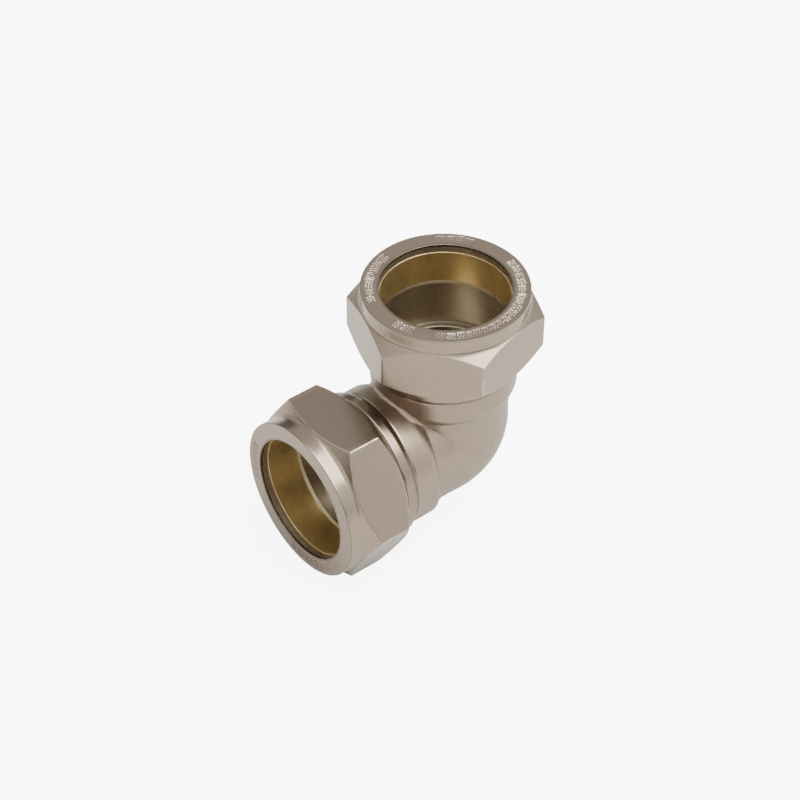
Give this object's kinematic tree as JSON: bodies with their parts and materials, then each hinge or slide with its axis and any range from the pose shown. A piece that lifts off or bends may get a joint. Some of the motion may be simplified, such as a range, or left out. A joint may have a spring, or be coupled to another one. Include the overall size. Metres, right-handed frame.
{
  "type": "elbow compression fitting",
  "caption": "Equal right-angle elbow with a socket on each leg, each closed by a hexagon nut over a brass olive that grips a plain tube.",
  "frame": {"origin": "the point where the axes of the two tube sockets cross, inside the bend", "axes": "+Z out of the mouth of the upper socket, -X out of the mouth of the side socket, Y square to both"},
  "size_m": [0.0604, 0.0428, 0.0574],
  "materials": {
    "nickel_plate": "satin nickel plate over brass",
    "bare_brass": "turned bare brass"
  },
  "bodies": {
    "elbow": {"elbow_body": "nickel_plate"},
    "upper_olive": {"upper_olive": "bare_brass"},
    "upper_nut": {"upper_nut": "nickel_plate"},
    "side_olive": {"side_olive": "bare_brass"},
    "side_nut": {"side_nut": "nickel_plate"}
  },
  "joints": [
    {"name": "upper_olive_travel", "type": "slide", "parent": "elbow", "child": "upper_olive", "axis": [0, 0, 1], "range_m": [-0.0002, 0.00924]},
    {"name": "upper_nut_turn", "type": "hinge", "parent": "upper_olive", "child": "upper_nut", "pos_m": [0, 0, 0.03], "axis": [0, 0, 1], "range_deg": [-30, 1440]},
    {"name": "side_olive_travel", "type": "slide", "parent": "elbow", "child": "side_olive", "axis": [-1, 0, 0], "range_m": [-0.0002, 0.00924]},
    {"name": "side_nut_turn", "type": "hinge", "parent": "side_olive", "child": "side_nut", "pos_m": [-0.03, 0, 0], "axis": [-1, 0, 0], "range_deg": [-30, 1440]}
  ],
  "couplings": [
    {"joint": "upper_olive_travel", "follows": "upper_nut_turn", "m_per_rad": 0.00036749},
    {"joint": "side_olive_travel", "follows": "side_nut_turn", "m_per_rad": 0.00036749}
  ]
}
